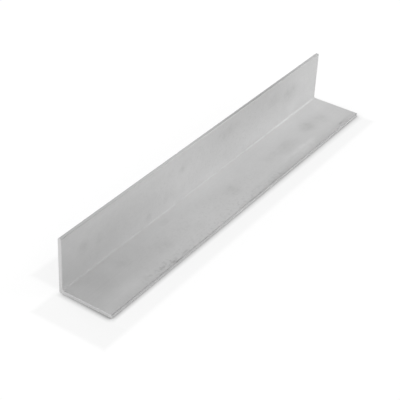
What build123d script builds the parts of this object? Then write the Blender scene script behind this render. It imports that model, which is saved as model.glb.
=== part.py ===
"""Equal angle section: one length of extruded aluminium, sawn square at both ends.

Frame: millimetres, +Z up.  The origin is on the underside of the base leg, midway
between heel and toe and midway along the length.  +Y runs along the extrusion.
The heel and the upright leg are on the -X side, and the base leg's toe points to +X.
"""
import os

from build123d import *

# Driving dimensions, in millimetres
BASE_LEG = 50.0        # width of the lying leg, from the heel's outer face to its toe
UPRIGHT_LEG = 50.0     # height of the standing leg, from the underside to its toe
THICKNESS = 3.0        # wall of both legs
LENGTH = 372.0         # saw cut to saw cut
ROOT_RADIUS = 1.5      # fillet in the inside corner, left by the die
HEEL_RADIUS = 1.0      # outside corner, eased by the die
TOE_RADIUS = 0.4       # the two arrises along each leg's toe
DEBURR = 0.2           # chamfer filed round each sawn end

# Worked-out places in the cross-section
HEEL_X = -BASE_LEG / 2
TOE_X = BASE_LEG / 2
INNER_X = HEEL_X + THICKNESS


def corner(profile, x, z):
    """Return the vertex of the section sketch at x across and z up."""
    return profile.vertices().sort_by_distance(Vector(x, 0, z))[0]


def section_profile():
    """Draw the L of the two legs on the XZ plane, and round its six corners."""
    outline = Plane.XZ * Polyline(
        (HEEL_X, 0),
        (TOE_X, 0),
        (TOE_X, THICKNESS),
        (INNER_X, THICKNESS),
        (INNER_X, UPRIGHT_LEG),
        (HEEL_X, UPRIGHT_LEG),
        close=True,
    )
    profile = make_face(outline)

    root = corner(profile, INNER_X, THICKNESS)
    profile = fillet(root, ROOT_RADIUS)
    heel = corner(profile, HEEL_X, 0)
    profile = fillet(heel, HEEL_RADIUS)
    toe_arrises = [
        corner(profile, TOE_X, 0),
        corner(profile, TOE_X, THICKNESS),
        corner(profile, INNER_X, UPRIGHT_LEG),
        corner(profile, HEEL_X, UPRIGHT_LEG),
    ]
    return fillet(toe_arrises, TOE_RADIUS)


def extruded_length(profile):
    """Push the section along Y, as much to one side of the origin as to the other."""
    return extrude(profile, amount=LENGTH / 2, both=True)


def deburred(bar):
    """Break the sharp edge that the saw leaves all round each end."""
    sawn_ends = bar.faces().filter_by(Axis.Y)
    return chamfer(sawn_ends.edges(), DEBURR)


def make_angle_section():
    """Build the whole piece: profile, extrusion and deburred ends."""
    bar = extruded_length(section_profile())
    bar = deburred(bar)
    bar.label = "angle_section"
    return bar


def main():
    """Write the one sub-part's STEP file."""
    os.makedirs("parts", exist_ok=True)
    export_step(make_angle_section(), "parts/angle_section.step")


main()
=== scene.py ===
"""Dressed scene for one length of equal angle section in mill-finish extruded aluminium.

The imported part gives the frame, in metres: +Z up, the length along Y, the heel and the
standing leg on the -X side, and the lying leg's toe on the +X side.  Sizes of the metal
and places on it are written in millimetres and turned to metres where they are used.
"""
import logging
import math
from dataclasses import dataclass, field
from enum import Enum, IntEnum
from typing import Any, Sequence

import bmesh
import bpy
from bmesh.types import BMEdge, BMesh, BMVert
from bpy.types import Material, Node, NodeSocket, NodeTree, Object
from mathutils import Matrix, Vector


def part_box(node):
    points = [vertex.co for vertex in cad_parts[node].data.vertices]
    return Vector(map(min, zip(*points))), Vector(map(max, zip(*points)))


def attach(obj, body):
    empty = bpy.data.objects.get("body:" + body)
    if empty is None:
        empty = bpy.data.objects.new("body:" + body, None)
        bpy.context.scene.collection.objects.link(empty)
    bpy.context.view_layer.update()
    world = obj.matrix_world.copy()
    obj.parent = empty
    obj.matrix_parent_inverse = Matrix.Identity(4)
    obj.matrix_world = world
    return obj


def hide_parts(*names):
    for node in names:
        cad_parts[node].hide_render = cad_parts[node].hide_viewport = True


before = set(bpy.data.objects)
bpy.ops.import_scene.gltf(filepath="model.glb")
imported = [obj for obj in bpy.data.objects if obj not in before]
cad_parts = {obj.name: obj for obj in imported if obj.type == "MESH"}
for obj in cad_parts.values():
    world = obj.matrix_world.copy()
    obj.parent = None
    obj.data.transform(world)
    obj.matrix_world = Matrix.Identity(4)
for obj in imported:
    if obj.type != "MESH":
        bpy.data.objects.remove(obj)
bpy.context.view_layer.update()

LOG = logging.getLogger("angle_section")
MM = 0.001                             # one millimetre in metres
TINY = 1e-4                            # a gap, in millimetres, that counts as none
WEAR_AND_SHADE_LAYER = "edge_wear_and_painted_light"
PLAIN_WHITE = "FFFFFF"
SRGB_TOE_END, SRGB_TOE_SLOPE = 0.04045, 12.92
SRGB_OFFSET, SRGB_POWER = 0.055, 2.4
NOISE_MIDDLE = (0.5, 0.5, 0.5)         # noise runs from 0 to 1 round this
WAVE_BAND = 2 * math.pi / 20           # the wave texture repeats each time it has gone this far
QUARTER_TURN = 0.25
FULL_WEIGHT = 100                      # the largest faces alone set the shading at their rims

Pair = tuple[float, float]
Triple = tuple[float, float, float]
Surface = tuple[list[NodeSocket], list[NodeSocket], NodeSocket]


# ---------------- shared helpers


def linear(hex_colour: str) -> tuple[float, float, float, float]:
    """Turn an sRGB hex colour into Blender's linear values.

    Args:
        hex_colour: six hex digits, such as "C0C1C2".

    Returns:
        Red, green, blue and an alpha of 1.
    """
    def channel(value: float) -> float:
        """Undo the sRGB curve, a straight toe and then a power, for one channel."""
        curved = ((value + SRGB_OFFSET) / (1 + SRGB_OFFSET)) ** SRGB_POWER
        return value / SRGB_TOE_SLOPE if value <= SRGB_TOE_END else curved

    red, green, blue = (channel(byte / 255) for byte in bytes.fromhex(hex_colour))
    return red, green, blue, 1.0


def add(tree: NodeTree, kind: str, sockets: dict[int | str, Any] | None = None,
        **settings: Any) -> Node:
    """Add one node with its settings, its input values and its links.

    Args:
        tree: the node tree to add to.
        kind: the node's type without its prefix, such as "Math" or "TexNoise".
        sockets: an input's name or number, with the value it holds or the output it reads.
        **settings: the node's own properties, such as operation.

    Returns:
        The new node.
    """
    node = tree.nodes.new("ShaderNode" + kind)
    for name, value in settings.items():
        setattr(node, name, value)
    for key, value in (sockets or {}).items():
        if isinstance(value, NodeSocket):
            tree.links.new(value, node.inputs[key])
        else:
            node.inputs[key].default_value = value
    return node


def millimetres(tree: NodeTree) -> NodeSocket:
    """Give the point that is looked at, in the object's own axes and in millimetres."""
    where = add(tree, "TexCoord").outputs["Object"]
    return add(tree, "VectorMath", {0: where, "Scale": 1 / MM}, operation="SCALE").outputs[0]


def new_material(name: str) -> tuple[Material, NodeTree]:
    """Make an empty node material.

    Args:
        name: the material's name.

    Returns:
        The material and its cleared node tree.
    """
    material = bpy.data.materials.new(name)
    material.use_nodes = True
    material.node_tree.nodes.clear()
    return material, material.node_tree


def link_new(name: str, data: bpy.types.ID) -> Object:
    """Put a mesh, a lamp or a camera into the scene as an object.

    Args:
        name: the object's name.
        data: what the object shows.

    Returns:
        The new object.
    """
    thing = bpy.data.objects.new(name, data)
    bpy.context.scene.collection.objects.link(thing)
    return thing


# ---------------- finishes


class Mark(Enum):
    """What a patch is made of, with the distance in millimetres that its rim wanders."""

    # Painted light and shade: broad areas made lighter or darker for how the light falls, with
    # drifts of the oxide's tone among them
    PAINTED_LIGHT_AND_DRIFT = 0.0
    SCUFF = 0.8
    STAIN = 3.5
    SPECKS = 5.0


@dataclass(frozen=True)
class Patch:
    """A soft-edged patch of the metal, as an ellipsoid round a point, in millimetres.

    Attributes:
        at: its middle.
        half: its half sizes along the three axes.
        tone: the change of tone at its middle, below 0 where the oxide is thicker or soiled or
        shade is painted, and above 0 where it is rubbed thin or light is painted.
        mark: what it is made of.  A stain is blotchy inside, and specks lie apart.
    """

    at: Triple
    half: Triple
    tone: float
    mark: Mark = Mark.STAIN


@dataclass(frozen=True)
class AluminiumFinish:
    """What every aluminium surface here shares: a colour, a roughness and how tones add up.

    Bare aluminium is a full metal, so it takes its grey from its colour and from what it
    mirrors, and its noise moves the tone by a few percent either way.  Its lay, the way its
    fine lines run, blurs mirror images far more across the lines than along them.

    In each finish a field that ends in _mm is how wide or high a mark is, one that ends in
    _run_mm is how far it runs along the length, and a _share is how far it moves the tone.

    Attributes:
        name: the material's name.
        colour: the metal's own grey.
        roughness: how far it blurs what it mirrors.
        anisotropy: how much more it blurs across the lay than along it.
        lay: the way its lines run.
    """

    name: str
    colour: str
    roughness: float
    anisotropy: float
    lay: Triple

    def build(self) -> Material:
        """Make the material.

        Returns:
            The finished node material.
        """
        material, tree = new_material(self.name)
        tones, roughs, bump = self.surface(tree, millimetres(tree))
        colour = add(tree, "VectorMath", {
            0: linear(self.colour)[:3], "Scale": self.total(tree, [1.0, *tones]),
        }, operation="SCALE")
        lay = add(tree, "VectorTransform", {0: self.lay},
                  vector_type="VECTOR", convert_from="OBJECT", convert_to="WORLD")
        # The shader blurs most along its tangent, so a quarter turn blurs most across the lay
        shader = add(tree, "BsdfPrincipled", {
            "Base Color": colour.outputs[0], "Metallic": 1.0,
            "Roughness": self.total(tree, [self.roughness, *roughs]), "Normal": bump,
            "Anisotropic": self.anisotropy, "Anisotropic Rotation": QUARTER_TURN,
            "Tangent": lay.outputs[0],
        })
        add(tree, "OutputMaterial", {"Surface": shader.outputs[0]})
        return material

    def surface(self, tree: NodeTree, place: NodeSocket) -> Surface:
        """Work out what this finish does to the plain metal.

        Args:
            tree: the node tree.
            place: the point on the metal, in millimetres.

        Returns:
            Changes of tone, changes of roughness and the bumped normal.
        """
        raise NotImplementedError

    @staticmethod
    def total(tree: NodeTree, parts: Sequence[float | NodeSocket]) -> NodeSocket:
        """Add up two or more values.

        Args:
            tree: the node tree.
            parts: numbers and outputs.

        Returns:
            Their sum.
        """
        result = parts[0]
        for part in parts[1:]:
            result = add(tree, "Math", {0: result, 1: part}, operation="ADD").outputs[0]
        return result

    @staticmethod
    def swing(tree: NodeTree, noise: NodeSocket, share: float) -> NodeSocket:
        """Centre a noise on 0 and let it reach about plus or minus share."""
        return add(tree, "Math", {0: noise, 1: 2 * share, 2: -share},
                   operation="MULTIPLY_ADD").outputs[0]


@dataclass(frozen=True)
class MillFinishAluminium(AluminiumFinish):
    """Aluminium as it leaves the extrusion die, satin and faintly clouded.

    The die draws fine lines and broader bands along the length, so what it mirrors is smeared
    round the section and stays fairly sharp along the length.  A thin, uneven oxide and
    handling let its grey drift from place to place, and broad patches of painted light and
    shade lie over that.

    Attributes:
        hairline_leans: how far the scratches turn away from the length, in degrees.
        hairline_from, hairline_full: the noise at which a scratch starts and is brightest.
        roughness_swing: how far the clouds and the bands move the roughness.
        wear_and_shade_share: how far an edge that is marked 1 moves the tone, for its wear and
        its painted light and shade.
        ragged_size_mm: the size of the steps in which the rim of a patch wanders.
        blotch_range: the noise at which a stain is weakest and at which it is strongest.
        blotch_depth: how strong it is there, where 1 is plain.
        speck_range, speck_depth: the same for specks.
        patches: the painted light and shade with drifts of tone, the stains, specks and scuffs.
    """

    name: str = "mill_finish_extruded_aluminium"
    colour: str = "CBCBCB"
    roughness: float = 0.6
    anisotropy: float = 0.9
    lay: Triple = (0.0, 1.0, 0.0)
    die_line_mm: float = 0.55          # real ones are near 0.1 mm, too fine to show
    die_line_run_mm: float = 260.0
    die_line_height_mm: float = 0.0025
    die_line_share: float = 0.03
    band_mm: float = 3.5               # the land of the die wears in bands about this wide
    band_run_mm: float = 420.0
    band_share: float = 0.03
    cloud_mm: float = 38.0             # oxide that grew unevenly in store
    cloud_share: float = 0.04
    mottle_mm: float = 7.0             # prints of hands and gloves
    mottle_share: float = 0.03
    grain_mm: float = 0.9              # the real grain is near 0.2 mm, too fine to show
    grain_share: float = 0.035
    hairline_mm: float = 0.35          # handling scratches, as wide as shows
    hairline_run_mm: float = 26.0
    hairline_leans: tuple[float, ...] = (4.0, -7.0, 38.0)
    hairline_from: float = 0.71
    hairline_full: float = 0.80
    hairline_share: float = 0.07
    roughness_swing: float = 0.06
    wear_and_shade_share: float = 0.22
    ragged_size_mm: float = 9.0
    blotch_mm: float = 8.0             # drops and finger marks within a stain
    blotch_range: Pair = (0.35, 0.65)
    blotch_depth: Pair = (0.5, 1.4)
    speck_mm: float = 2.2              # pits of salt and small knocks, as small as shows
    speck_range: Pair = (0.52, 0.68)
    speck_depth: Pair = (0.0, 1.0)
    patches: tuple[Patch, ...] = ()

    def surface(self, tree: NodeTree, place: NodeSocket) -> Surface:
        """Draw the die's lines, the oxide's clouds and the marks of use.

        Args:
            tree: the node tree.
            place: the point on the metal, in millimetres.

        Returns:
            Changes of tone, changes of roughness and the bumped normal.
        """
        lines = self._drawn(tree, place, self.die_line_mm, self.die_line_run_mm)
        bands = self._drawn(tree, place, self.band_mm, self.band_run_mm)
        clouds, mottle, grain = (
            add(tree, "TexNoise", {"Vector": place, "Scale": 1 / size}).outputs["Fac"]
            for size in (self.cloud_mm, self.mottle_mm, self.grain_mm)
        )
        around = self._around(tree, place)
        holds = {
            mark: self._hold(tree, place, size, reach, depth)
            for mark, size, reach, depth in (
                (Mark.STAIN, self.blotch_mm, self.blotch_range, self.blotch_depth),
                (Mark.SPECKS, self.speck_mm, self.speck_range, self.speck_depth),
            )
        }
        tones = [
            self.swing(tree, lines, self.die_line_share),
            self.swing(tree, bands, self.band_share),
            self.swing(tree, clouds, self.cloud_share),
            self.swing(tree, mottle, self.mottle_share),
            self.swing(tree, grain, self.grain_share),
            *(self._hairlines(tree, place, lean) for lean in self.hairline_leans),
            *(self._patch(tree, place, around, holds.get(patch.mark, 1.0), patch)
              for patch in self.patches),
            self._edge_wear_and_shade(tree),
        ]
        roughs = [
            self.swing(tree, clouds, self.roughness_swing),
            self.swing(tree, bands, self.roughness_swing),
        ]
        bump = add(tree, "Bump", {
            "Strength": 1.0, "Distance": self.die_line_height_mm * MM, "Height": lines,
        })
        return tones, roughs, bump.outputs[0]

    @staticmethod
    def _drawn(tree: NodeTree, place: NodeSocket, across: float, along: float,
               lean_degrees: float = 0.0) -> NodeSocket:
        """Give noise that is pulled out along the extrusion.

        Args:
            tree: the node tree.
            place: the point in millimetres.
            across: the size of a line across the legs, in millimetres.
            along: how far a line runs, in millimetres.
            lean_degrees: how far the lines turn away from the length, on both legs.

        Returns:
            The noise, from 0 to 1.
        """
        lean = math.radians(lean_degrees)
        pulled = add(tree, "Mapping", {
            "Vector": place, "Rotation": (lean, 0.0, lean), "Scale": (across, along, across),
        }, vector_type="TEXTURE")
        return add(tree, "TexNoise", {"Vector": pulled.outputs[0], "Scale": 1.0}).outputs["Fac"]

    def _hairlines(self, tree: NodeTree, place: NodeSocket, lean_degrees: float) -> NodeSocket:
        """Draw sparse bright scratches that lean by one angle.

        Args:
            tree: the node tree.
            place: the point in millimetres.
            lean_degrees: how far they turn away from the length.

        Returns:
            The change of tone, 0 or more.
        """
        noise = self._drawn(tree, place, self.hairline_mm, self.hairline_run_mm, lean_degrees)
        return add(tree, "MapRange", {
            "Value": noise, "From Min": self.hairline_from, "From Max": self.hairline_full,
            "To Max": self.hairline_share,
        }).outputs[0]

    def _around(self, tree: NodeTree, place: NodeSocket) -> NodeSocket:
        """Give the way that an uneven rim wanders.

        Args:
            tree: the node tree.
            place: the point in millimetres.

        Returns:
            A vector, each axis from about -0.5 to 0.5.
        """
        noise = add(tree, "TexNoise", {"Vector": place, "Scale": 1 / self.ragged_size_mm})
        return add(tree, "VectorMath", {0: noise.outputs["Color"], 1: NOISE_MIDDLE},
                   operation="SUBTRACT").outputs[0]

    @staticmethod
    def _hold(tree: NodeTree, place: NodeSocket, size: float, reach: Pair,
              depth: Pair) -> NodeSocket:
        """Give how strongly a mark takes hold from place to place.

        Args:
            tree: the node tree.
            place: the point in millimetres.
            size: how large its blotches are, in millimetres.
            reach: the noise at which it is weakest, and at which it is strongest.
            depth: its weakest and its strongest.

        Returns:
            The strength, where 1 is plain.
        """
        noise = add(tree, "TexNoise", {"Vector": place, "Scale": 1 / size}).outputs["Fac"]
        return add(tree, "MapRange", {
            "Value": noise, "From Min": reach[0], "From Max": reach[1],
            "To Min": depth[0], "To Max": depth[1],
        }).outputs[0]

    @staticmethod
    def _patch(tree: NodeTree, place: NodeSocket, around: NodeSocket, hold: float | NodeSocket,
               patch: Patch) -> NodeSocket:
        """Give one patch's change of tone, which fades out from its middle.

        Args:
            tree: the node tree.
            place: the point in millimetres.
            around: the way that an uneven rim wanders, each axis from -0.5 to 0.5.
            hold: how strongly the mark takes hold.
            patch: the patch.

        Returns:
            The change of tone.
        """
        wander = 2 * patch.mark.value
        moved = add(tree, "VectorMath", {0: around, 1: (wander, wander, wander), 2: place},
                    operation="MULTIPLY_ADD")
        shape = add(tree, "Mapping", {
            "Vector": moved.outputs[0], "Location": patch.at, "Scale": patch.half,
        }, vector_type="TEXTURE")
        ball = add(tree, "TexGradient", {"Vector": shape.outputs[0]}, gradient_type="SPHERICAL")
        full = add(tree, "Math", {0: hold, 1: patch.tone}, operation="MULTIPLY").outputs[0]
        return add(tree, "MapRange", {"Value": ball.outputs["Fac"], "To Max": full},
                   interpolation_type="SMOOTHSTEP").outputs[0]

    def _edge_wear_and_shade(self, tree: NodeTree) -> NodeSocket:
        """Tone the long edges as the mesh marks them, darker below 0 and brighter above."""
        # The marks hold wear and painted light and shade along the long edges
        mark = add(tree, "Attribute", attribute_name=WEAR_AND_SHADE_LAYER).outputs["Fac"]
        return add(tree, "Math", {0: mark, 1: self.wear_and_shade_share}, operation="MULTIPLY").outputs[0]


@dataclass(frozen=True)
class SawCutAluminium(AluminiumFinish):
    """Aluminium freshly cut by a circular saw.

    The teeth leave fine parallel ridges and bare, bright metal, so an end looks lighter
    than the oxidised faces beside it.

    Attributes:
        ridge_lean_degrees: how far the ridges turn away from upright.
        ridge_waver: how far they stray from straight lines, in the wave texture's own units.
        ridge_waver_detail: how many finer waverings lie over that.
        ridge_waver_scale: how close together the waverings are.
        smear_share: how far the smeared patches move the tone and the roughness.
    """

    name: str = "saw_cut_aluminium"
    colour: str = "D2D2D2"
    roughness: float = 0.5
    anisotropy: float = 0.5
    lay: Triple = (0.4, 0.0, 0.9)      # the blade came through at a slant
    ridge_mm: float = 0.8
    ridge_height_mm: float = 0.012
    ridge_lean_degrees: float = 24.0
    ridge_waver: float = 1.5
    ridge_waver_detail: float = 2.0
    ridge_waver_scale: float = 0.6
    ridge_share: float = 0.05
    smear_mm: float = 4.0
    smear_share: float = 0.06

    def surface(self, tree: NodeTree, place: NodeSocket) -> Surface:
        """Draw the ridges of the teeth and the metal that they smeared.

        Args:
            tree: the node tree.
            place: the point on the metal, in millimetres.

        Returns:
            Changes of tone, changes of roughness and the bumped normal.
        """
        leaned = add(tree, "Mapping", {
            "Vector": place, "Rotation": (0.0, math.radians(self.ridge_lean_degrees), 0.0),
        })
        ridges = add(tree, "TexWave", {
            "Vector": leaned.outputs[0], "Scale": WAVE_BAND / self.ridge_mm,
            "Distortion": self.ridge_waver, "Detail": self.ridge_waver_detail,
            "Detail Scale": self.ridge_waver_scale,
        }, wave_type="BANDS", bands_direction="X", wave_profile="SIN").outputs["Fac"]
        smear = add(tree, "TexNoise", {"Vector": place, "Scale": 1 / self.smear_mm}).outputs["Fac"]
        tones = [
            self.swing(tree, ridges, self.ridge_share),
            self.swing(tree, smear, self.smear_share),
        ]
        roughs = [self.swing(tree, smear, self.smear_share)]
        bump = add(tree, "Bump", {
            "Strength": 1.0, "Distance": self.ridge_height_mm * MM, "Height": ridges,
        })
        return tones, roughs, bump.outputs[0]


@dataclass(frozen=True)
class ShadeStrip:
    """A flat, faint shade on the board, where the metal stands before one of the lamps.

    Attributes:
        low: its lowest place along X and along Y, in millimetres.
        high: its highest place along X and along Y.
        loss: how much darker the board is there.
    """

    low: Pair
    high: Pair
    loss: float


@dataclass(frozen=True)
class WhiteBoard:
    """Matt white board, brought to plain white and shaded where the metal nearly touches it.

    The metal mirrors the board without that shade, which would only dull the sawn end.

    Attributes:
        name: the material's name.
        colour: the board's own white.
        lift: glow that only mirror-like surfaces see.
        veil: the share of the board's white that the eye sees whatever the lamps do.
        veil_glow: the glow that stands for that share.
        contact_reach_mm: how far from the metal the contact shade reaches, at the near and at
            the far end.
        contact_run: where those two ends are, along Y in millimetres.
        front_reach_mm: how much further it reaches where dark_front ends.
        contact_power: how dark it is, where 1 is plain.
        lit_side: where the light from the left has washed it out, and where it is full again,
            along X in millimetres.
        dark_front: where it starts to grow before the near end, and where it has grown in
            full, along Y in millimetres.
        dark_corner: where it starts to deepen there, and where it is deepest, along X in
            millimetres.
        deepest: how much stronger it is at that deepest place.
        contact_samples: how many rays feel for the metal at each point.
        strips: the faint shades of single lamps.
        strip_edge_mm: how softly a strip ends.
    """

    name: str = "matt_white_board"
    colour: str = "F2F2F2"
    lift: float = 0.04
    veil: float = 0.7
    veil_glow: float = 0.72
    contact_reach_mm: Pair = (4.2, 7.0)
    contact_run: Pair = (-186.0, 186.0)
    front_reach_mm: float = 1.4
    contact_power: float = 1.12
    lit_side: Pair = (-26.0, -20.0)
    dark_front: Pair = (-185.5, -187.0)
    dark_corner: Pair = (-20.0, 22.0)
    deepest: float = 0.6
    contact_samples: int = 16
    strips: tuple[ShadeStrip, ...] = (
        ShadeStrip((-26.7, -216.5), (42.4, 187.0), 0.06),
        ShadeStrip((-26.7, -216.5), (42.4, -187.0), 0.07),
        ShadeStrip((-55.0, -184.0), (-25.0, 187.0), 0.055),
    )
    strip_edge_mm: float = 6.0

    def build(self) -> Material:
        """Make the material.

        Returns:
            The finished node material.
        """
        material, tree = new_material(self.name)
        ray = add(tree, "LightPath").outputs
        eye = ray["Is Camera Ray"]
        shade = self._shade(tree, millimetres(tree), eye)
        unveiled = add(tree, "Math", {0: eye, 1: -self.veil, 2: 1.0},
                       operation="MULTIPLY_ADD").outputs[0]
        kept = add(tree, "Math", {0: shade, 1: unveiled}, operation="MULTIPLY").outputs[0]
        colour = add(tree, "VectorMath", {0: linear(self.colour)[:3], "Scale": kept},
                     operation="SCALE")
        board = add(tree, "BsdfDiffuse", {"Color": colour.outputs[0]}).outputs[0]
        seen = add(tree, "Math", {0: ray["Is Glossy Ray"], 1: ray["Is Transmission Ray"]},
                   operation="MAXIMUM")
        veiled = add(tree, "Math", {0: eye, 1: self.veil_glow}, operation="MULTIPLY").outputs[0]
        glow = add(tree, "Math", {0: seen.outputs[0], 1: self.lift, 2: veiled},
                   operation="MULTIPLY_ADD").outputs[0]
        shaded = add(tree, "Math", {0: glow, 1: shade}, operation="MULTIPLY").outputs[0]
        lifted = add(tree, "Emission", {"Color": linear(PLAIN_WHITE), "Strength": shaded})
        both = add(tree, "AddShader", {0: board, 1: lifted.outputs[0]}).outputs[0]
        add(tree, "OutputMaterial", {"Surface": both})
        return material

    def _shade(self, tree: NodeTree, place: NodeSocket, eye: NodeSocket) -> NodeSocket:
        """Work out how much of the board's white is left, as the eye sees it.

        Args:
            tree: the node tree.
            place: the point on the board, in millimetres.
            eye: 1 for what the camera sees, and 0 for the rest.

        Returns:
            A factor, 1 where there is no shade.
        """
        contact = self._contact_left(tree, place)
        strips = self._strips_left(tree, place)
        both = add(tree, "Math", {0: contact, 1: strips}, operation="MULTIPLY").outputs[0]
        change = add(tree, "Math", {0: both, 1: 1.0}, operation="SUBTRACT").outputs[0]
        return add(tree, "Math", {0: change, 1: eye, 2: 1.0}, operation="MULTIPLY_ADD").outputs[0]

    def _contact_left(self, tree: NodeTree, place: NodeSocket) -> NodeSocket:
        """Work out what the contact shade leaves of the board's white.

        Args:
            tree: the node tree.
            place: the point on the board, in millimetres.

        Returns:
            A factor, 1 where there is no shade.
        """
        across, along, _ = add(tree, "SeparateXYZ", {0: place}).outputs
        near_mm, far_mm = self.contact_reach_mm
        ramps = (
            (along, self.contact_run, near_mm * MM, far_mm * MM),
            (across, self.lit_side, 0.0, 1.0),
            (along, self.dark_front, 0.0, 1.0),
            (across, self.dark_corner, 0.0, self.deepest),
        )
        side_reach, kept, front, corner = (
            add(tree, "MapRange", {
                "Value": value, "From Min": ends[0], "From Max": ends[1],
                "To Min": low, "To Max": high,
            }).outputs[0]
            for value, ends, low, high in ramps
        )
        reach = add(tree, "Math", {0: front, 1: self.front_reach_mm * MM, 2: side_reach},
                    operation="MULTIPLY_ADD").outputs[0]
        open_share = add(tree, "AmbientOcclusion", {"Distance": reach},
                         samples=self.contact_samples).outputs["AO"]
        full = add(tree, "Math", {0: open_share, 1: self.contact_power},
                   operation="POWER").outputs[0]
        loss = add(tree, "Math", {0: full, 1: 1.0}, operation="SUBTRACT").outputs[0]
        more = add(tree, "Math", {0: front, 1: corner}, operation="MULTIPLY").outputs[0]
        deeper = add(tree, "Math", {0: kept, 1: more, 2: kept}, operation="MULTIPLY_ADD").outputs[0]
        return add(tree, "Math", {0: loss, 1: deeper, 2: 1.0}, operation="MULTIPLY_ADD").outputs[0]

    def _strips_left(self, tree: NodeTree, place: NodeSocket) -> NodeSocket:
        """Work out what the strips leave of the board's white, the darkest one where they meet.

        Args:
            tree: the node tree.
            place: the point on the board, in millimetres.

        Returns:
            A factor, 1 where there is no strip.
        """
        most = 0.0
        for strip in self.strips:
            middle = [(low + high) / 2 for low, high in zip(strip.low, strip.high)]
            half = [(high - low) / 2 for low, high in zip(strip.low, strip.high)]
            off = add(tree, "VectorMath", {0: place, 1: (*middle, 0.0)}, operation="SUBTRACT")
            size = add(tree, "VectorMath", {0: off.outputs[0]}, operation="ABSOLUTE")
            past = add(tree, "VectorMath", {0: size.outputs[0], 1: (*half, 0.0)},
                       operation="SUBTRACT")
            sides = add(tree, "SeparateXYZ", {0: past.outputs[0]}).outputs
            worst = add(tree, "Math", {0: sides[0], 1: sides[1]}, operation="MAXIMUM").outputs[0]
            loss = add(tree, "MapRange", {
                "Value": worst, "From Min": -self.strip_edge_mm / 2,
                "From Max": self.strip_edge_mm / 2, "To Min": strip.loss, "To Max": 0.0,
            }, interpolation_type="SMOOTHSTEP").outputs[0]
            most = add(tree, "Math", {0: most, 1: loss}, operation="MAXIMUM").outputs[0]
        return add(tree, "Math", {0: 1.0, 1: most}, operation="SUBTRACT").outputs[0]


# ---------------- the angle section


class Finish(IntEnum):
    """The angle's material slots, by number."""

    MILL = 0
    SAWN = 1


@dataclass(frozen=True)
class LongEdge:
    """One of the six edges that run the whole length.

    Attributes:
        name: what the edge is called.
        x: place across, in millimetres.
        z: height, in millimetres.
        radius: the rounding, in millimetres.
        segments: flat steps in the rounding.
        wear_and_shade: its tone, for wear and painted light and shade, at the near end, the
        middle and the far end, below 0 for darker.
    """

    name: str
    x: float
    z: float
    radius: float
    segments: int
    wear_and_shade: Triple

    def beside(self, vert: BMVert, reach: float) -> bool:
        """Say whether a vertex is no further across or up than reach from the sharp edge."""
        return abs(vert.co.x - self.x) <= reach and abs(vert.co.z - self.z) <= reach

    def wear_and_shade_at(self, share: float) -> float:
        """Give its tone at a place along it.

        Args:
            share: the place as a share of the length, from 0 at the near end to 1.

        Returns:
            The tone, in a straight run from each stated place to the next.
        """
        near, middle, far = self.wear_and_shade
        if share < 0.5:
            return near + 2 * share * (middle - near)
        return middle + (2 * share - 1) * (far - middle)


@dataclass(frozen=True)
class Nick:
    """A small knock on an edge.

    Attributes:
        at: its middle, in millimetres.
        push: which way the metal went, of any length.
        reach: how far the knock spreads, in millimetres.
        depth: how deep it is, in millimetres.
    """

    at: Triple
    push: Triple
    reach: float
    depth: float


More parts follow.
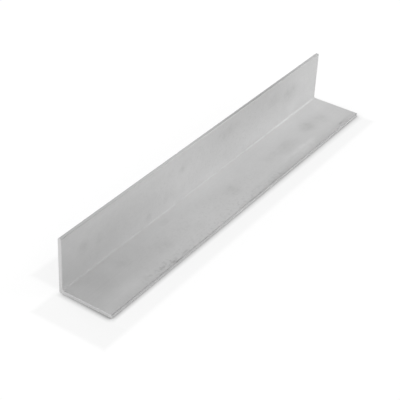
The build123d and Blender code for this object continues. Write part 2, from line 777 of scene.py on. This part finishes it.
@dataclass
class AngleSection:
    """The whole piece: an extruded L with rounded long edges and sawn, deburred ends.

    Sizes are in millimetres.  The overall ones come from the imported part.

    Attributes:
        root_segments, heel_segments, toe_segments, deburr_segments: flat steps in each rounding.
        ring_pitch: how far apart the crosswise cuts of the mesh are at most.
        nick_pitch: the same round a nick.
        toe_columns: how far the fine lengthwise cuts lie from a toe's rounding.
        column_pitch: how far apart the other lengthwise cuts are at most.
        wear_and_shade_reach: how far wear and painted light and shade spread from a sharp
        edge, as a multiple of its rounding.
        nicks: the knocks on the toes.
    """

    base_leg: float
    upright_leg: float
    length: float
    thickness: float = 3.0
    root_radius: float = 1.5
    heel_radius: float = 1.0
    toe_radius: float = 0.4
    deburr: float = 0.2
    root_segments: int = 8
    heel_segments: int = 6
    toe_segments: int = 3
    deburr_segments: int = 2
    ring_pitch: float = 12.0
    nick_pitch: float = 0.3
    toe_columns: tuple[float, ...] = (0.3, 0.7, 1.2, 2.0, 4.0)
    column_pitch: float = 12.0
    wear_and_shade_reach: float = 1.05
    mill: MillFinishAluminium = field(default_factory=MillFinishAluminium)
    sawn: SawCutAluminium = field(default_factory=SawCutAluminium)
    nicks: tuple[Nick, ...] = ()

    @classmethod
    def from_box(cls, low: Vector, high: Vector) -> "AngleSection":
        """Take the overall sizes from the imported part's box, whose corners are in metres."""
        across, along, up = (high - low) / MM
        return cls(base_leg=across, upright_leg=up, length=along)

    @property
    def heel_x(self) -> float:
        """The outer face of the standing leg."""
        return -self.base_leg / 2

    @property
    def toe_x(self) -> float:
        """The end of the lying leg."""
        return self.base_leg / 2

    @property
    def inner_x(self) -> float:
        """The inner face of the standing leg."""
        return self.heel_x + self.thickness

    @property
    def near_y(self) -> float:
        """The near sawn end."""
        return -self.length / 2

    def long_edges(self) -> list[LongEdge]:
        """List the six long edges in order round the section.

        Returns:
            The edges, with their roundings, wear and painted light and shade.
        """
        wall, top = self.thickness, self.upright_leg
        heel = self.heel_radius, self.heel_segments
        root = self.root_radius, self.root_segments
        toe = self.toe_radius, self.toe_segments
        return [
            # Tones: the heel and the lying leg's upper toe are darker; the lying leg's lower toe
            # carries a painted highlight, the root painted light and shade along its length, the
            # standing leg's inner top edge painted light and shade, and its outer top edge a
            # painted dark outline
            LongEdge("heel", self.heel_x, 0.0, *heel, (-0.3, -0.3, -0.3)),
            LongEdge("base_toe_lower", self.toe_x, 0.0, *toe, (1.3, 1.4, 1.4)),
            LongEdge("base_toe_upper", self.toe_x, wall, *toe, (-0.9, -0.65, -0.15)),
            LongEdge("root", self.inner_x, wall, *root, (0.1, -0.2, 0.3)),
            LongEdge("upright_toe_inner", self.inner_x, top, *toe, (-0.4, 0.7, 0.5)),
            LongEdge("upright_toe_outer", self.heel_x, top, *toe, (-0.8, -1.7, -1.9)),
        ]

    def build(self) -> Object:
        """Make the piece and dress it.

        Returns:
            The finished object, riding on the part's body.
        """
        bm = bmesh.new()
        self._extrude_section(bm)
        self._round_long_edges(bm)
        self._deburr_ends(bm)
        self._cut_grid(bm)
        self._finish_faces(bm)
        self._mark_wear_and_shade(bm)
        self._knock_nicks(bm)
        bmesh.ops.scale(bm, vec=(MM, MM, MM), verts=bm.verts)
        bmesh.ops.recalc_face_normals(bm, faces=bm.faces)

        mesh = bpy.data.meshes.new("angle_section_dressed")
        bm.to_mesh(mesh)
        bm.free()
        for finish in (self.mill, self.sawn):
            mesh.materials.append(finish.build())
        piece = link_new("angle_section_dressed", mesh)
        self._keep_flats_flat(piece)
        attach(piece, "root")
        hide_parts("angle_section")
        return piece

    def _extrude_section(self, bm: BMesh) -> None:
        """Draw the sharp L at the near end and push it to the far end.

        Args:
            bm: the empty mesh to draw in.
        """
        corners = [bm.verts.new((edge.x, self.near_y, edge.z)) for edge in self.long_edges()]
        section = bm.faces.new(corners)
        pushed = bmesh.ops.extrude_face_region(bm, geom=[section])["geom"]
        moved = [item for item in pushed if isinstance(item, BMVert)]
        bmesh.ops.translate(bm, verts=moved, vec=(0.0, self.length, 0.0))
        bmesh.ops.recalc_face_normals(bm, faces=bm.faces)

    @staticmethod
    def _round_off(bm: BMesh, edges: list[BMEdge], radius: float, segments: int) -> None:
        """Round some edges.

        Args:
            bm: the mesh.
            edges: the edges.
            radius: the rounding, in millimetres.
            segments: flat steps in it.
        """
        bmesh.ops.bevel(bm, geom=edges, offset=radius, offset_type="OFFSET", segments=segments,
                        profile=0.5, affect="EDGES", clamp_overlap=False, material=-1)

    def _round_long_edges(self, bm: BMesh) -> None:
        """Round each long edge with its own radius.

        Args:
            bm: the sharp L.
        """
        for corner in self.long_edges():
            lines = [edge for edge in bm.edges
                     if all(corner.beside(vert, TINY) for vert in edge.verts)]
            self._round_off(bm, lines, corner.radius, corner.segments)
            LOG.debug("%s: rounded by %.1f mm", corner.name, corner.radius)

    def _deburr_ends(self, bm: BMesh) -> None:
        """Break the edge round each sawn end.

        Args:
            bm: the L with its long edges rounded.
        """
        rim = [edge for edge in bm.edges
               if all(abs(abs(vert.co.y) + self.near_y) < TINY for vert in edge.verts)]
        self._round_off(bm, rim, self.deburr, self.deburr_segments)

    def _columns(self, start: float, end: float) -> list[float]:
        """Place the lengthwise cuts of one leg, close together near its toe.

        Args:
            start: where the leg leaves the root fillet.
            end: where its toe rounding starts.

        Returns:
            The places, in millimetres.
        """
        fine = [end - gap for gap in self.toe_columns]
        steps = math.ceil((fine[-1] - start) / self.column_pitch)
        return fine + [start + (fine[-1] - start) * step / steps for step in range(1, steps)]

    def _rings(self) -> list[float]:
        """Place the crosswise cuts, close together round each nick.

        Returns:
            The places, in millimetres.
        """
        steps = math.ceil(self.length / self.ring_pitch)
        coarse = [self.near_y + self.length * step / steps for step in range(1, steps)]
        fine = []
        for nick in self.nicks:
            count = math.ceil(nick.reach / self.nick_pitch)
            fine += [nick.at[1] + nick.reach * step / count for step in range(-count, count + 1)]
        return coarse + fine

    def _cut_grid(self, bm: BMesh) -> None:
        """Cut the legs lengthwise and crosswise, to carry wear, painted light and shade, and nicks.

        Args:
            bm: the finished shape, still in large faces.
        """
        wall, toe = self.thickness + self.root_radius, self.toe_radius
        across = self._columns(self.heel_x + wall, self.toe_x - toe)
        up = self._columns(wall, self.upright_leg - toe)
        cuts = [((x, 0.0, 0.0), (1.0, 0.0, 0.0)) for x in across]
        cuts += [((0.0, 0.0, z), (0.0, 0.0, 1.0)) for z in up]
        cuts += [((0.0, y, 0.0), (0.0, 1.0, 0.0)) for y in self._rings()]
        for point, normal in cuts:
            bmesh.ops.bisect_plane(bm, geom=bm.verts[:] + bm.edges[:] + bm.faces[:], dist=TINY,
                                   plane_co=point, plane_no=normal)

    def _finish_faces(self, bm: BMesh) -> None:
        """Give the ends and their deburred rims the sawn finish, and the rest the mill finish.

        Args:
            bm: the cut mesh.
        """
        for face in bm.faces:
            face.smooth = True
            at_end = abs(face.calc_center_median().y) > -self.near_y - self.deburr
            face.material_index = Finish.SAWN if at_end else Finish.MILL

    def _mark_wear_and_shade(self, bm: BMesh) -> None:
        """Write each long edge's wear and painted light and shade, from place to place along it.

        Args:
            bm: the cut mesh.
        """
        layer = bm.verts.layers.float.new(WEAR_AND_SHADE_LAYER)
        for corner in self.long_edges():
            for vert in bm.verts:
                if corner.beside(vert, self.wear_and_shade_reach * corner.radius):
                    vert[layer] = corner.wear_and_shade_at((vert.co.y - self.near_y) / self.length)

    def _knock_nicks(self, bm: BMesh) -> None:
        """Push the metal in at each nick, most at its middle and smoothly to nothing.

        Args:
            bm: the cut mesh.
        """
        for nick in self.nicks:
            middle = Vector(nick.at)
            push = Vector(nick.push).normalized()
            for vert in bm.verts:
                gap = (vert.co - middle).length / nick.reach
                if gap < 1:
                    vert.co += push * nick.depth * (1 - gap * gap) ** 2

    @staticmethod
    def _keep_flats_flat(piece: Object) -> None:
        """Shade the flats flat and the roundings smooth.

        Args:
            piece: the piece's object.
        """
        weighted = piece.modifiers.new("flat_faces_lead", "WEIGHTED_NORMAL")
        weighted.mode = "FACE_AREA"
        weighted.weight = FULL_WEIGHT


# ---------------- studio and camera


@dataclass(frozen=True)
class SoftBox:
    """A soft rectangular lamp that points at the metal.

    Attributes:
        name: the lamp's name.
        azimuth: the way to it, in degrees from +X towards +Y.
        elevation: its height above the board, in degrees.
        strength: radiance of its face, where 1 is plain white.
        size: its width and height, in millimetres.
        distance: how far away it stands, in millimetres.
        aim: the point that it faces, in millimetres.
    """

    name: str
    azimuth: float
    elevation: float
    strength: float
    size: Pair = (500.0, 500.0)
    distance: float = 1100.0
    aim: Triple = (0.0, 0.0, 10.0)

    def build(self) -> Object:
        """Make the lamp, unseen by the camera.

        Returns:
            The lamp's object.
        """
        lamp = bpy.data.lights.new(self.name, "AREA")
        lamp.shape = "RECTANGLE"
        lamp.size, lamp.size_y = (side * MM for side in self.size)
        # An area lamp of this power gives off a radiance of strength from its face
        lamp.energy = self.strength * math.pi * lamp.size * lamp.size_y
        turn, lift = math.radians(self.azimuth), math.radians(self.elevation)
        level = math.cos(lift)
        out = Vector((level * math.cos(turn), level * math.sin(turn), math.sin(lift)))
        holder = link_new(self.name, lamp)
        holder.location = out * self.distance * MM
        facing = Vector(self.aim) * MM - holder.location
        holder.rotation_euler = facing.to_track_quat("-Z", "Y").to_euler()
        holder.visible_camera = False
        return holder


@dataclass
class Studio:
    """A white board under the metal, soft lamps and a pale surround.

    Attributes:
        boxes: the lamps.
        surround: radiance of the surround, where 1 is plain white.
        board_side: the side of the square board, in millimetres.
        board: the board's finish.
    """

    boxes: tuple[SoftBox, ...]
    surround: float = 0.77
    board_side: float = 8000.0
    board: WhiteBoard = field(default_factory=WhiteBoard)

    def build(self) -> None:
        """Make the floor, the world and the lamps."""
        self._floor()
        self._world()
        for box in self.boxes:
            box.build()

    def _floor(self) -> None:
        """Lay the board with its top at height 0."""
        bm = bmesh.new()
        bmesh.ops.create_grid(bm, x_segments=1, y_segments=1, size=self.board_side * MM / 2)
        mesh = bpy.data.meshes.new("floor_board")
        bm.to_mesh(mesh)
        bm.free()
        mesh.materials.append(self.board.build())
        link_new("floor_board", mesh)

    def _world(self) -> None:
        """Light everything evenly from all round, and show the eye plain white."""
        world = bpy.data.worlds.new("pale_surround")
        bpy.context.scene.world = world
        world.use_nodes = True
        tree = world.node_tree
        tree.nodes.clear()
        eye = add(tree, "LightPath").outputs["Is Camera Ray"]
        strength = add(tree, "Math", {0: eye, 1: self.surround}, operation="MAXIMUM").outputs[0]
        glow = add(tree, "Background", {"Color": linear(PLAIN_WHITE), "Strength": strength})
        add(tree, "OutputWorld", {"Surface": glow.outputs[0]})


@dataclass(frozen=True)
class ViewPoint:
    """Where the camera stands and how it is turned.

    Angles are in degrees, and everything else is in millimetres.

    Attributes:
        aim: the point in the middle of its view.
        distance: how far from that point it stands.
        azimuth: the way to the camera, from -Y towards +X.
        elevation: its height above the board.
        roll: how far it is turned about its own line of sight.
        focal: the focal length.
        sensor: the sensor's width.
        clip: the nearest and the furthest that it sees.
    """

    aim: Triple = (-9.54, -23.88, 2.55)
    distance: float = 994.4
    azimuth: float = 33.224
    elevation: float = 34.613
    roll: float = 2.924
    focal: float = 107.094
    sensor: float = 36.0
    clip: Pair = (50.0, 20000.0)

    def build(self) -> Object:
        """Make the camera and use it.

        Returns:
            The camera's object.
        """
        lens = bpy.data.cameras.new("camera")
        lens.lens, lens.sensor_width = self.focal, self.sensor
        lens.clip_start, lens.clip_end = (end * MM for end in self.clip)
        camera = link_new("camera", lens)
        turn, lift = math.radians(self.azimuth), math.radians(self.elevation)
        level = math.cos(lift)
        back = Vector((math.sin(turn) * level, -math.cos(turn) * level, math.sin(lift)))
        upright = (-back).to_track_quat("-Z", "Y").to_matrix().to_4x4()
        rolled = upright @ Matrix.Rotation(math.radians(self.roll), 4, "Z")
        stand = Vector(self.aim) * MM + back * self.distance * MM
        camera.matrix_world = Matrix.Translation(stand) @ rolled
        bpy.context.scene.camera = camera
        return camera


# ---------------- this piece's own marks


def handling_and_painted_light_patches(section: AngleSection) -> tuple[Patch, ...]:
    """List the cloudy patches on the two inner faces.

    Args:
        section: the section that they lie on.

    Returns:
        Broad painted light and shade with drifts of tone first, then stains and specks, and scuffs
        beside the toe.
    """
    inner, toe, near = section.inner_x, section.toe_x, section.near_y
    top, crest = section.thickness, section.upright_leg
    rows = {
        # Painted light and shade with drifts of tone: broad areas made lighter or darker for how
        # the light falls, a painted dark line along the standing leg's top, a painted highlight up
        # its sawn inner rim, painted shade on the lying leg's toe face and at the far root, and a
        # painted dimming of the root's highlight
        Mark.PAINTED_LIGHT_AND_DRIFT: (
            ((inner, 60.0, top), (28.0, 330.0, 26.0), 0.13),
            ((toe, 110.0, top), (14.0, 150.0, 8.0), -0.13),
            ((inner, 75.0, 46.0), (10.0, 130.0, 26.0), -0.11),
            ((0.0, near, top), (45.0, 32.0, 7.0), 0.07),
            ((-15.0, 62.0, 4.0), (16.0, 75.0, 8.0), -0.07),
            ((15.0, -155.0, top), (13.0, 42.0, 7.0), 0.08),
            ((16.0, -85.0, top), (16.0, 110.0, 8.0), 0.05),
            ((21.0, -184.0, top), (9.0, 12.0, 6.0), 0.07),
            ((-4.0, -150.0, top), (24.0, 45.0, 7.0), 0.035),
            ((-2.0, -75.0, top), (16.0, 45.0, 7.0), 0.04),
            ((3.0, -40.0, top), (14.0, 30.0, 7.0), 0.05),
            ((20.5, 97.0, top), (5.0, 28.0, 4.0), 0.07),
            ((inner, -118.0, 32.0), (5.0, 62.0, 18.0), -0.04),
            ((inner, -128.0, 15.0), (5.0, 55.0, 14.0), -0.04),
            ((inner, -32.0, 25.0), (5.0, 46.0, 14.0), 0.06),
            ((inner, 40.0, 13.0), (5.0, 38.0, 12.0), -0.05),
            ((inner, 109.0, 34.0), (5.0, 16.0, 10.0), -0.05),
            ((inner, 147.0, 14.0), (5.0, 20.0, 12.0), 0.05),
            ((-23.2, 80.0, crest), (1.5, 150.0, 1.5), -0.24),
            ((-21.8, near, 22.0), (0.9, 1.1, 50.0), 0.30),
            ((-14.0, -180.0, top), (14.0, 16.0, 6.0), 0.05),
            ((-21.5, 187.0, 4.5), (5.0, 7.0, 5.0), -0.18),
            ((toe, -90.0, 1.7), (0.8, 190.0, 1.3), -0.20),
            ((-21.5, 82.0, 3.6), (2.5, 50.0, 2.5), -0.07),
        ),
        Mark.STAIN: (
            ((24.8, -103.0, 2.9), (1.5, 24.0, 2.0), -0.12),
            ((-4.0, -160.0, top), (16.0, 20.0, 6.0), -0.03),
            ((-15.0, -70.0, top), (4.5, 8.0, 4.0), -0.09),
            ((-8.0, -131.0, top), (9.0, 12.0, 4.0), -0.05),
            ((5.0, -94.0, top), (9.0, 13.0, 4.0), -0.07),
            ((4.0, 4.0, top), (11.0, 14.0, 4.0), -0.07),
            ((10.0, -52.0, top), (6.0, 9.0, 4.0), -0.04),
            ((1.0, 70.0, top), (9.0, 14.0, 4.0), -0.06),
            ((4.0, 93.0, top), (12.0, 24.0, 4.0), -0.08),
            ((-1.0, 137.0, top), (13.0, 17.0, 4.0), -0.12),
            ((2.0, 156.0, top), (14.0, 12.0, 4.0), -0.08),
            ((14.5, 96.0, top), (4.0, 45.0, 4.0), 0.07),
            ((17.0, 110.0, top), (5.0, 24.0, 4.0), 0.06),
            ((24.0, 30.0, top), (3.5, 58.0, 3.0), -0.12),
            ((22.0, 168.0, top), (3.5, 24.0, 4.0), -0.10),
            ((inner, 31.0, 37.0), (5.0, 28.0, 11.0), -0.05),
            ((inner, 138.0, 31.0), (5.0, 20.0, 10.0), -0.08),
            ((inner, 188.0, 13.0), (5.0, 22.0, 13.0), -0.07),
            ((inner, -160.0, 29.0), (5.0, 10.0, 10.0), -0.06),
            ((inner, -141.0, 26.0), (5.0, 7.0, 7.0), -0.06),
            ((inner, -79.0, 10.0), (5.0, 8.0, 7.0), -0.07),
            ((inner, -53.0, 17.0), (5.0, 9.0, 7.0), -0.05),
            ((inner, -33.0, 33.0), (5.0, 9.0, 6.0), -0.06),
        ),
        Mark.SPECKS: (
            ((23.0, -20.0, top), (12.0, 220.0, 4.0), -0.12),
            ((21.0, -112.0, top), (7.0, 45.0, 3.0), -0.14),
            ((4.0, -30.0, top), (22.0, 180.0, 4.0), -0.06),
            ((inner, 40.0, 26.0), (5.0, 330.0, 45.0), -0.06),
        ),
        Mark.SCUFF: (
            ((20.6, -117.5, top), (2.0, 5.0, 2.5), -0.16),
            ((22.4, -107.0, top), (2.0, 5.0, 2.5), -0.17),
            ((22.8, -89.5, top), (1.8, 5.0, 2.5), -0.18),
            ((21.5, 160.0, top), (1.4, 4.0, 2.5), -0.20),
        ),
    }
    return tuple(Patch(at, half, tone, mark)
                 for mark, patches in rows.items() for at, half, tone in patches)


def toe_nicks(section: AngleSection) -> tuple[Nick, ...]:
    """List the small knocks along the toes, pushed into the metal.

    Args:
        section: the section that they lie on.

    Returns:
        Three nicks on the lying leg's toe, then two on the standing leg's.
    """
    toe, top = section.toe_x, section.thickness
    inner, outer, crest = section.inner_x, section.heel_x, section.upright_leg
    return (
        Nick((toe, -117.0, top), (-1.0, 0.0, -1.0), 1.6, 0.25),
        Nick((toe, -89.5, top), (-1.0, 0.0, -0.6), 1.3, 0.2),
        Nick((toe, 62.0, top), (-1.0, 0.0, -1.0), 1.2, 0.18),
        Nick((inner, 141.0, crest), (-0.6, 0.0, -1.0), 1.4, 0.2),
        Nick((outer, -38.0, crest), (1.0, 0.0, -1.0), 1.5, 0.22),
    )


def soft_boxes() -> tuple[SoftBox, ...]:
    """List the studio's lamps.

    Returns:
        Two behind the metal, one on the left and one in front.
    """
    return (
        SoftBox("back_box", 68.0, 32.0, 1.72),
        SoftBox("back_right_box", 45.0, 32.0, 1.54),
        SoftBox("left_box", 180.0, 45.0, 2.75),
        SoftBox("front_box", 270.0, 45.0, 2.58),
    )


def main() -> None:
    """Build the piece, the studio and the camera, and report each."""
    logging.basicConfig(level=logging.INFO, format="%(name)s: %(message)s")
    section = AngleSection.from_box(*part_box("angle_section"))
    section.mill = MillFinishAluminium(patches=handling_and_painted_light_patches(section))
    section.nicks = toe_nicks(section)
    piece = section.build()
    LOG.info("%s: %d faces", piece.name, len(piece.data.polygons))

    studio = Studio(boxes=soft_boxes())
    studio.build()
    LOG.info("studio: %d soft boxes", len(studio.boxes))
    camera = ViewPoint().build()
    LOG.info("%s: focal length %.1f mm", camera.name, camera.data.lens)

    bpy.context.scene.view_settings.view_transform = "Standard"


if __name__ == "__main__":
    main()
